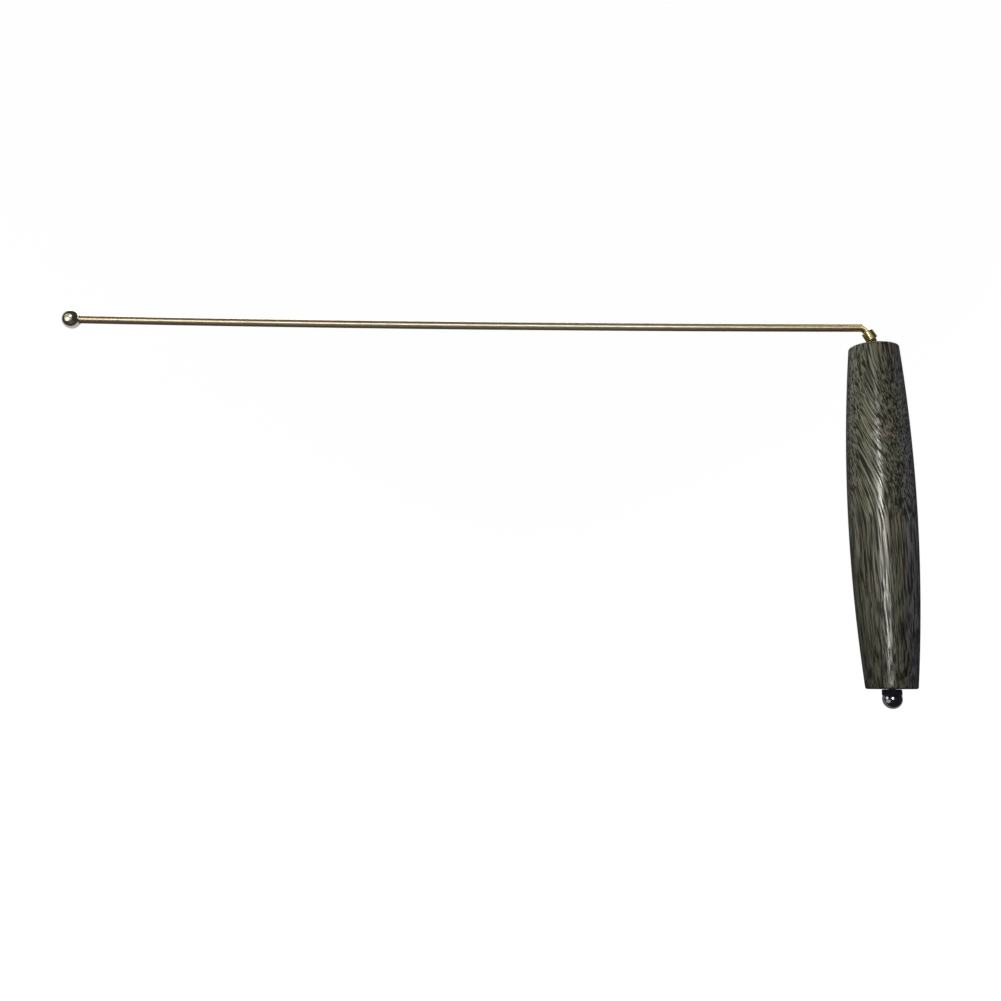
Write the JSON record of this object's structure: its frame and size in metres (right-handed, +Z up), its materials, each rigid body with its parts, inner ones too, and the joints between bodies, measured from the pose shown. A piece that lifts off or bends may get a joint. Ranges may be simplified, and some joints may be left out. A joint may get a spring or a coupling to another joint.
{
  "type": "dowsing rod",
  "caption": "L-shaped dowsing rod: a long brass arm with a polished ball tip that swivels freely in a barrel-shaped dark wood grip.",
  "frame": {"origin": "middle of the grip, on its axis, where a hand holds it", "axes": "+Z up along the grip and the arm's swivel axis, -X along the arm towards its tip, Y across"},
  "size_m": [0.3395, 0.026, 0.1578],
  "materials": {
    "dark_wood": "oiled, semi-gloss, open pores",
    "bush_brass": "turned",
    "washer_steel": "ground",
    "rod_brass": "drawn, slightly aged",
    "coupling_brass": "turned, bright",
    "ball_steel": "polished",
    "dark_ball_steel": "polished, dark",
    "dark_steel": "dark, blued"
  },
  "bodies": {
    "handle": {"grip": "dark_wood", "upper_bush": "bush_brass", "lower_bush": "bush_brass"},
    "rod": {"spindle": "rod_brass", "thrust_washer": "washer_steel", "coupling": "coupling_brass", "arm": "rod_brass", "tip_ball": "ball_steel", "spacer": "dark_steel", "end_ball": "dark_ball_steel"}
  },
  "joints": [
    {"name": "rod_swivel", "type": "hinge", "parent": "handle", "child": "rod", "pos_m": [0, 0, 0.0675], "axis": [0, 0, 1], "continuous": true}
  ]
}
